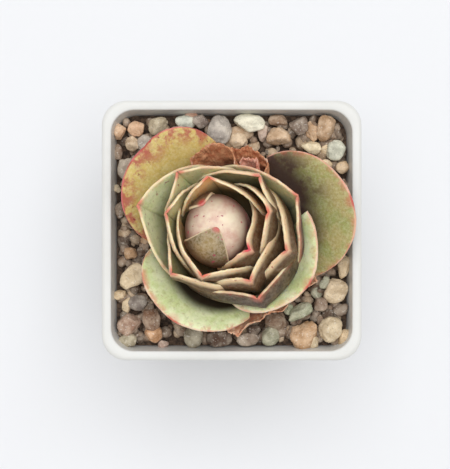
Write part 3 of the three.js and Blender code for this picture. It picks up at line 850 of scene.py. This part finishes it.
def rim_radius(row, azimuth):
    """How far a leaf's rim stands from the middle at an azimuth, or None where it doesn't reach."""
    _, style, (start_at, tip_at, end_at), (start, early, tip, late, end), _ = row
    offset = (azimuth - tip_at + 180) % 360 - 180
    if offset < 0:
        arm, middle, last = tip_at - start_at, early, start
    else:
        arm, middle, last = end_at - tip_at, late, end
    share = abs(offset) / arm
    return quadratic_arm(tip, middle, last, share, style["power"]) if share < 0.8 else None


def end_draws(order):
    """How far each end of a leaf draws in, so that it dives under the belly of a younger leaf."""
    name, _, azimuths, radii, _ = LEAVES[order]
    draws = []
    for end, (azimuth, radius) in enumerate(((azimuths[0], radii[0]), (azimuths[2], radii[4]))):
        inside = [rim_radius(row, azimuth) for row in LEAVES[order + 1 :]]
        inside = [r for r in inside if r is not None]
        room = 0.8 + 0.9 * math.cos(math.radians(azimuth - FRONT_RIGHT))
        draw = max(0.3, radius - max(inside) - room) if inside else 0.3
        draws.append(0 if (name, end) == STANDING_END else draw)
    return draws


def rim_stray(across, seed, size_mm):
    """A small wander of a leaf's rim, so that no rim is a perfect curve."""
    broad = [noise.noise(Vector((a * 9, seed, 0))) for a in across]
    fine = [noise.noise(Vector((a * 34, seed, 3))) for a in across]
    return (np.array(broad) + 0.45 * np.array(fine)) * size_mm


def leaf_distances(row, points, across, along):
    """Distances in mm from each point to the leaf's rim, its tip and its nearer side."""
    rim = leaf_blade(row, across, np.ones_like(along))
    tip = leaf_blade(row, np.array([0.5]), np.array([1.0]))[0]
    side = leaf_blade(row, np.where(across < 0.5, 0.0, 1.0), along)
    return tuple(np.linalg.norm(points - other, axis=1) for other in (rim, tip, side))


def leaf_skin(name, columns, rows, closeness):
    """A leaf's two faces as a flat grid, and how far each point is across and along it, from 0
    to 1. closeness draws the columns together at the sides."""
    grid = {"x_subdivisions": columns, "y_subdivisions": rows, "size": 2}
    leaf = add_primitive(bpy.ops.mesh.primitive_grid_add, name, **grid)
    flat = vertex_positions(leaf) / 2
    across = 0.5 + closeness * np.sin(flat[:, 0] * math.pi) + (1 - 2 * closeness) * flat[:, 0]
    apply_modifier(leaf, "SOLIDIFY", thickness=PAPER_THIN, offset=0)
    return leaf, across, flat[:, 1] + 0.5


def finish_skin(leaf, outer, inner, labels):
    """Sets a leaf's two faces in mm, stores what each point knows of itself, and smooths it."""
    set_vertex_positions(leaf, np.vstack([outer, inner]) * MM)
    for label, numbers in labels.items():
        store_numbers(leaf, label, np.concatenate([numbers, numbers]))
    store_numbers(leaf, "inner", np.repeat([0.0, 1.0], len(outer)))
    turn_faces_out(leaf)
    bpy.ops.object.shade_smooth()


def grow_leaf(name, order, waviness, flesh):
    """A leaf's skin as a fine grid bent onto its blade and given its flesh."""
    _, style, azimuths, radii, tops = LEAVES[order]
    row = (style, azimuths, radii, tops, order, end_draws(order))
    leaf, across, along = leaf_skin(name, *LEAF_GRID, 0.175)
    along = 1 - (1 - along) ** 1.5
    stray = rim_stray(across, order * 7.3, waviness / MM) * along**3
    points = leaf_blade(row, across, along, stray)
    nudge = 1e-3
    inward = np.where(across > 0.5, -nudge, nudge)
    upward = np.where(along > 0.5, -nudge, nudge)
    aside = leaf_blade(row, across + inward, along, stray) - points
    onward = leaf_blade(row, across, along + upward, stray) - points
    normal = np.cross(aside / inward[:, None], onward / upward[:, None])
    normal /= np.linalg.norm(normal, axis=1, keepdims=True)
    rim_mm, tip_mm, side_mm = leaf_distances(row, points, across, along)
    # The flesh thins to a rounded margin.
    border = np.clip(np.minimum(rim_mm, side_mm) / MARGIN, 0, 1)
    rounding = 0.28 + 0.72 * np.sqrt(1 - (1 - border) ** 2)
    half = normal * (style["thickness"] * flesh * rounding / 2)[:, None]
    labels = {"rim_mm": rim_mm, "tip_mm": tip_mm, "along": along, "across": across}
    labels["out_mm"] = np.linalg.norm(points[:, :2] - MOUTH, axis=1)
    finish_skin(leaf, points + half, points - half, labels)
    return leaf


def leaf_material(name, look):
    """Living leaf, fleshy and waxy: a clouded green face under a powdery bloom, a thin pale edge,
    and the red that strong sun brings out at the margin and tip. Painted shade darkens the outer
    face low down and the inner face towards its base."""
    material, tree, shader = new_material("waxy_leaf_" + name)
    inner = add_node(tree, "ShaderNodeAttribute", attribute_name="inner").outputs["Fac"]
    clouds = patches(tree, 5.5, 4, 0.6, 0.38, 0.62)
    face = paint(tree, look["face"], look["cloud"], clouds)
    # The outer face darkens from near its rim to low down: painted shade, where it sinks between the
    # leaves.
    body = paint(tree, look["outer"], look["low"], fade(tree, "rim_mm", 0.5, 2.6))
    body = paint(tree, body, "#c2a983", patches(tree, 3.0, 4, 0.6, 0.42, 0.64, 0, 0.15))
    body = paint(tree, body, face, inner)
    # The bloom is rubbed into grains about 0.7 mm across, and shows more on the inner face.
    rubbed = fade(tree, inner, 0, 1, 0.07, 0.24)
    body = paint(tree, body, "#ebe6c8", patches(tree, 0.7, 4, 0.7, 0.4, 0.66), rubbed)
    body = paint(tree, body, "#7b5f42", patches(tree, 1.3, 4, 0.65, 0.34, 0.48, 1, 0), rubbed)
    # Painted shade darkens the face towards its base, and a dark purple tint, deepened by painted
    # shade, darkens it close to the rosette on one side.
    out_mm = add_node(tree, "ShaderNodeAttribute", attribute_name="out_mm").outputs["Fac"]
    inputs = {0: out_mm, 1: fade(tree, clouds, 0, 1, -1, 1)}
    ragged = add_node(tree, "ShaderNodeMath", inputs, operation="SUBTRACT").outputs[0]
    inputs = {0: fade(tree, "across", *look["stain"]), 1: fade(tree, ragged, 23, 30, 0.95, 0)}
    stain = add_node(tree, "ShaderNodeMath", inputs, operation="MULTIPLY").outputs[0]
    inputs = {0: fade(tree, "along", *look["shade"], 1, 0), 1: stain}
    deep = add_node(tree, "ShaderNodeMath", inputs, operation="MAXIMUM").outputs[0]
    body = paint(tree, body, look["base"], deep, inner)
    # The blush fades inwards from the rim, in blotches, with dark dots among them.
    blush_mm = look["blush_mm"]
    near = fade(tree, "rim_mm", blush_mm * 0.2, blush_mm * 2, look["blush"] * 0.85, 0)
    body = paint(tree, body, look["tip"], patches(tree, 3.4, 5, 0.66, 0.42, 0.58), near)
    close = fade(tree, "rim_mm", 2.0, 6.0, look["spots"], 0)
    body = paint(tree, body, "#8e2f35", patches(tree, 1.1, 1, 0.4, 0.69, 0.73), close)
    # The edge is a line about 0.3 mm wide, cream where it isn't flushed.
    flushed = patches(tree, 4.5, 3, 0.6, 0.46, 0.6, 0, look["blush"])
    inputs = {0: flushed, 1: fade(tree, "tip_mm", 0.8, 3.2, 1, 0)}
    flushed = add_node(tree, "ShaderNodeMath", inputs, operation="MAXIMUM").outputs[0]
    edge = paint(tree, look["edge"], look["tip"], flushed)
    body = paint(tree, body, look["tip"], fade(tree, "tip_mm", 0.6, 2.6, 0.4, 0))
    body = paint(tree, body, edge, fade(tree, "rim_mm", 0.12, 0.5, 0.85, 0))
    inputs = {
        "Base Color": body,
        "Roughness": patches(tree, 1.6, 3, 0.5, 0.35, 0.65, 0.42, 0.6),
        "IOR": 1.42,
        "Normal": relief(tree, 0.6, 5, 0.65, 0.5, 0.12),
    }
    feed(tree, shader, inputs | lit_through(0.35, (1.0, 0.6, 0.25), 1.5))
    return material


class SUCCULENT_OT_make_leaves(bpy.types.Operator):
    """Grow the living leaves of the rosette"""

    bl_idname = "succulent.make_leaves"
    bl_label = "Leaves"

    def execute(self, context):
        settings = context.scene.succulent_leaf
        materials = {}
        for order, (node, style, *_) in enumerate(LEAVES):
            if style is DRY:
                continue
            look = node if node in LOOKS else style["look"]
            if look not in materials:
                materials[look] = leaf_material(look, LOOKS[look])
            leaf = grow_leaf(node + "_grown", order, settings.waviness, settings.flesh)
            finish_piece(leaf, materials[look], NODE_SLOTS[node], node)
        return {"FINISHED"}


# ---- Dry leaves -----------------------------------------------------------------------------

DRY_WAVINESS = 0.9 * MM
DRY_FLESH = 0.7
# Each paper's dark and light streaks, and its colour near the root.
DRY_LOOKS = {
    "rust": ("#a8623f", "#d69a70", "#5a2c1f"),
    "salmon": ("#cf7f66", "#efb79e", "#8c4636"),
    # The front papers take a lighter copy of the rust paper: painted light, against the shadow they
    # lie in.
    "bleached": ("#cd8660", "#f0c6a4", "#7a4433"),
}


def dry_leaf_material(name, dark, light, root):
    """Dead leaf, dried to paper: rust brown, darker at its root, pale along its torn edge."""
    material, tree, shader = new_material("dried_leaf_paper_" + name)
    body = paint(tree, dark, light, patches(tree, 1.6, 5, 0.65, 0.34, 0.66))
    body = paint(tree, root, body, fade(tree, "along", 0.5, 0.85))
    edge = fade(tree, "rim_mm", 0.1, 0.9, 1, 0)
    body = paint(tree, body, "#dcb79c", edge, patches(tree, 2.4, 3, 0.5, 0.5, 0.7))
    crackle = relief(tree, 0.9, 5, 0.65, 0.7, 0.25)
    inputs = {"Base Color": body, "Roughness": 0.72, "Normal": crackle}
    feed(tree, shader, inputs | lit_through(0.1, (1, 0.4, 0.2), 0.6))
    return material


def wrinkle(point):
    """A push in x, y and z that wanders from place to place."""
    parts = ((5, 1, 9), (13, 27, 4), (31, 8, 17))
    return np.array([noise.noise(point + Vector(part)) for part in parts])


class SUCCULENT_OT_make_dry_leaves(bpy.types.Operator):
    """Wither the oldest leaves to crinkled paper"""

    bl_idname = "succulent.make_dry_leaves"
    bl_label = "Dry leaves"

    def execute(self, context):
        papers = {name: dry_leaf_material(name, *look) for name, look in DRY_LOOKS.items()}
        for order, (node, style, *_) in enumerate(LEAVES):
            if style is not DRY:
                continue
            leaf = grow_leaf(node + "_withered", order, DRY_WAVINESS, DRY_FLESH)
            places = vertex_positions(leaf)
            for place in places:
                point = Vector(place) / MM
                crumple = wrinkle(point / 3.2) * 0.62 + wrinkle(point / 1.3) * 0.25
                # The root stays where it is, and the crumple grows over the first 6 mm.
                place += crumple * min(1, max(0, (point.z - LOWEST_LEAF - 1) / 6)) * MM
            set_vertex_positions(leaf, places)
            # The front papers take the lighter copy, which is painted light.
            paper = "salmon" if "flap" in node else "bleached" if "front" in node else "rust"
            finish_piece(leaf, papers[paper], "dry_leaf", node)
        return {"FINISHED"}


# ---- Bud ------------------------------------------------------------------------------------

BUD_MIDDLE = np.array([-3.9, 0.3, 81.0])
BUD_HALVES = np.array([8.3, 9.1, 5.2])
MEAN_BUD_RADIUS = 9
BUD_LEAF_GRID = (60, 60)

# Young leaves still pressed on the bud: node, azimuth of its middle line, its tip and base in
# degrees down from the bud's top, and its half widths in degrees each way.
BUD_LEAVES = [
    ("bud_leaf_front", 250, -3, 98, (54, 43)),
    ("bud_leaf_back_left", 122, 52, 98, (26, 26)),
]


def bud_point(directions, out):
    """Points in mm that stand out from the bud's skin, which narrows and leans towards the stem."""
    below = np.maximum(0, -directions[:, 2])
    narrowing = (1 - 0.25 * below**2)[:, None]
    flat = BUD_MIDDLE[:2] + (ROOT_AXIS - BUD_MIDDLE[:2]) * below[:, None]
    flat = flat + directions[:, :2] * (BUD_HALVES[:2] + out) * narrowing
    return np.column_stack([flat, BUD_MIDDLE[2] + directions[:, 2] * (BUD_HALVES[2] + out)])


def bud_material(name, first, second, low):
    """Closed heart of a rosette, waxy and fleshy: clouded, painted shade low down, flecked with
    magenta.
    """
    material, tree, shader = new_material("waxy_closed_bud_" + name)
    body = paint(tree, first, second, patches(tree, 5, 3, 0.55, 0.36, 0.64))
    body = paint(tree, body, "#eadbc8", patches(tree, 0.7, 4, 0.65, 0.35, 0.65, 0, 0.25))
    place = add_node(tree, "ShaderNodeTexCoord").outputs["Object"]
    height = add_node(tree, "ShaderNodeSeparateXYZ", {"Vector": place}).outputs["Z"]
    # Painted shade darkens the bud low down, where the leaves close over it.
    body = paint(tree, body, low, fade(tree, height, 82.4 * MM, 86.1 * MM, 0.85, 0))
    body = paint(tree, body, "#a03c52", patches(tree, 1.4, 1, 0.4, 0.68, 0.72, 0, 0.85))
    body = paint(tree, body, "#ead8b4", fade(tree, "rim_mm", 0.2, 0.6, 0.8, 0))
    body = paint(tree, body, "#c23c46", fade(tree, "tip_mm", 0.5, 2.0, 0.8, 0))
    skin = relief(tree, 0.5, 4, 0.6, 0.4, 0.08)
    inputs = {"Base Color": body, "Roughness": 0.45, "Normal": skin}
    feed(tree, shader, inputs | lit_through(0.15, (1.0, 0.6, 0.4), 1.0))
    return material


def bud_leaf_blade(shape, across, along, out):
    """Points in mm on a leaf that is pressed on the bud, and how far each is from its margin."""
    azimuth, tip, base, widths = shape
    down = np.radians(base + (tip - base) * along)
    aside = 2 * across - 1
    width = np.where(aside < 0, *widths) * (1 - 0.99 * along**2.2) ** 0.75
    turn = np.radians(aside * width)
    x, y, z = np.sin(down) * np.cos(turn), np.sin(turn), np.cos(down) * np.cos(turn)
    cos, sin = math.cos(math.radians(azimuth)), math.sin(math.radians(azimuth))
    directions = np.column_stack([x * cos - y * sin, x * sin + y * cos, z])
    edge = (1 - np.abs(aside)) * np.radians(width) * MEAN_BUD_RADIUS
    edge = np.minimum(edge, (1 - along) * math.radians(base - tip) * MEAN_BUD_RADIUS)
    return bud_point(directions, out), np.maximum(edge, 0)


def press_bud_leaf(name, *shape):
    """A young leaf as a fine grid laid on the bud and given its flesh."""
    leaf, across, along = leaf_skin(name, *BUD_LEAF_GRID, 0.35)
    low, high = 0.05, 1
    under, margin = bud_leaf_blade(shape, across, along, low)
    over = bud_leaf_blade(shape, across, along, high)[0]
    rounding = np.sqrt(1 - (1 - np.clip(margin / 0.8, 0, 1)) ** 2)
    flesh = 0.12 + 0.6 * rounding * (1 - 0.25 * along)
    raised = under + (over - under) / (high - low) * flesh[:, None]
    tip = bud_leaf_blade(shape, np.array([0.5]), np.array([1.0]), 0.5)[0]
    tip_mm = np.linalg.norm(under - tip, axis=1)
    finish_skin(leaf, raised, under, {"rim_mm": margin, "tip_mm": tip_mm})
    return leaf


class SUCCULENT_OT_make_bud(bpy.types.Operator):
    """Close the heart of the rosette"""

    bl_idname = "succulent.make_bud"
    bl_label = "Bud"

    def execute(self, context):
        sphere = bpy.ops.mesh.primitive_ico_sphere_add
        bud = add_primitive(sphere, "bud_grown", subdivisions=6, radius=1)
        directions = vertex_positions(bud)
        directions /= np.linalg.norm(directions, axis=1, keepdims=True)
        set_vertex_positions(bud, bud_point(directions, 0) * MM)
        bpy.ops.object.shade_smooth()
        for label in ("rim_mm", "tip_mm"):  # the bud itself has neither
            store_numbers(bud, label, np.full(len(directions), 99.0))
        finish_piece(bud, bud_material("pink", "#cea894", "#e6d7ba", "#553836"), "bud", "bud")
        olive = bud_material("olive", "#75633b", "#967f4f", "#422d27")
        for node, *shape in BUD_LEAVES:
            finish_piece(press_bud_leaf(node + "_grown", *shape), olive, "bud", node)
        return {"FINISHED"}


# ---- Stem -----------------------------------------------------------------------------------


def stem_material():
    """Old stem and roots, corky: brown bark with pale cracks."""
    material, tree, shader = new_material("corky_stem_bark")
    bark = fade(tree, blotches(tree, 1.4, 5, 0.65, stretch=(1, 1, 0.35)), 0.35, 0.65)
    inputs = {"Height": bark, "Strength": 0.6, "Distance": 0.3 * MM}
    cracks = add_node(tree, "ShaderNodeBump", inputs).outputs["Normal"]
    body = paint(tree, "#4d3b2e", "#8d755c", bark)
    feed(tree, shader, {"Base Color": body, "Roughness": 0.9, "Normal": cracks})
    return material


class SUCCULENT_OT_finish_stem(bpy.types.Operator):
    """Give the frame's stem and roots their bark"""

    bl_idname = "succulent.finish_stem"
    bl_label = "Stem"

    def execute(self, context):
        stem = frame["nodes"]["stem_and_roots"]
        stem.data.materials.clear()
        stem.data.materials.append(stem_material())
        return {"FINISHED"}


# ---- Stage ----------------------------------------------------------------------------------

FLOOR_DROP = 0.05 * MM
SKY_STRENGTH = 0.73
WINDOW_PLACE, WINDOW_AIM = (0.08, 0.33, 1.60), (0, 0, 0.06)
WINDOW_SIZE, WINDOW_POWER = 1.25, 17.2
VIEW_MIDDLE = (-1.8 * MM, -1.08 * MM)
VIEW_WIDTH = 121.05 * MM  # what the camera sees across, at the height of the pot's rim
SENSOR_WIDTH = 36


def floor_material(colour):
    """Painted board, matt white."""
    material, tree, shader = new_material("matt_white_board")
    feed(tree, shader, {"Base Color": colour, "Roughness": 0.9})
    return material


class SUCCULENT_OT_make_stage(bpy.types.Operator):
    """Lay the floor and set the lights and the camera"""

    bl_idname = "succulent.make_stage"
    bl_label = "Stage"

    def execute(self, context):
        settings = context.scene.succulent_stage
        plane = bpy.ops.mesh.primitive_plane_add
        floor = add_primitive(plane, "floor", size=8, location=(0, 0, -FLOOR_DROP))
        floor.data.materials.append(floor_material(tuple(settings.floor)))
        self.set_lights()
        self.set_camera(settings.height)
        return {"FINISHED"}

    def set_lights(self):
        """An even sky, and a large window to the back, high up."""
        world = bpy.data.worlds.new("soft_daylight")
        world.use_nodes = True
        sky = world.node_tree.nodes["Background"]
        feed(world.node_tree, sky, {"Color": "#fcfaf8", "Strength": SKY_STRENGTH})
        bpy.context.scene.world = world
        window = bpy.data.lights.new("window", "AREA")
        window.energy = WINDOW_POWER
        window.size = WINDOW_SIZE
        window.color = linear("#f8fbff")[:3]
        lamp = bpy.data.objects.new("window", window)
        lamp.location = WINDOW_PLACE
        aim = Vector(WINDOW_AIM) - lamp.location
        lamp.rotation_euler = aim.to_track_quat("-Z", "Y").to_euler()
        bpy.context.scene.collection.objects.link(lamp)

    def set_camera(self, height):
        """Straight down, over the middle of the view."""
        lens = bpy.data.cameras.new("overhead")
        lens.sensor_fit = "HORIZONTAL"
        lens.sensor_width = SENSOR_WIDTH
        lens.lens = SENSOR_WIDTH * (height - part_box("pot")[1].z) / VIEW_WIDTH
        lens.clip_start = 0.01
        camera = bpy.data.objects.new("overhead", lens)
        camera.location = (*VIEW_MIDDLE, height)
        bpy.context.scene.collection.objects.link(camera)
        bpy.context.scene.camera = camera
        bpy.context.scene.view_settings.view_transform = "Standard"


# ---- Panel and registering ------------------------------------------------------------------


class SUCCULENT_PT_panel(bpy.types.Panel):
    """Every size and colour, and a button for each group of pieces"""

    bl_label = "Potted succulent"
    bl_space_type = "VIEW_3D"
    bl_region_type = "UI"
    bl_category = "Succulent"

    def draw(self, context):
        for name, group in SETTINGS.items():
            box = self.layout.box()
            for setting in group.__annotations__:
                box.prop(getattr(context.scene, name), setting)
        for operator in OPERATORS:
            self.layout.operator(operator.bl_idname)


OPERATORS = (
    SUCCULENT_OT_make_stage,
    SUCCULENT_OT_make_pot,
    SUCCULENT_OT_make_gravel,
    SUCCULENT_OT_finish_stem,
    SUCCULENT_OT_make_dry_leaves,
    SUCCULENT_OT_make_leaves,
    SUCCULENT_OT_make_bud,
)
SETTINGS = {
    "succulent_pot": PotSettings,
    "succulent_gravel": GravelSettings,
    "succulent_leaf": LeafSettings,
    "succulent_stage": StageSettings,
}
CLASSES = (*SETTINGS.values(), *OPERATORS, SUCCULENT_PT_panel)


def register():
    for group in CLASSES:
        bpy.utils.register_class(group)
    for name, group in SETTINGS.items():
        setattr(bpy.types.Scene, name, PointerProperty(type=group))


def unregister():
    for name in SETTINGS:
        delattr(bpy.types.Scene, name)
    for group in reversed(CLASSES):
        bpy.utils.unregister_class(group)


def main():
    register()
    for operator in OPERATORS:
        family, name = operator.bl_idname.split(".")
        getattr(getattr(bpy.ops, family), name)()


if __name__ == "__main__":
    main()
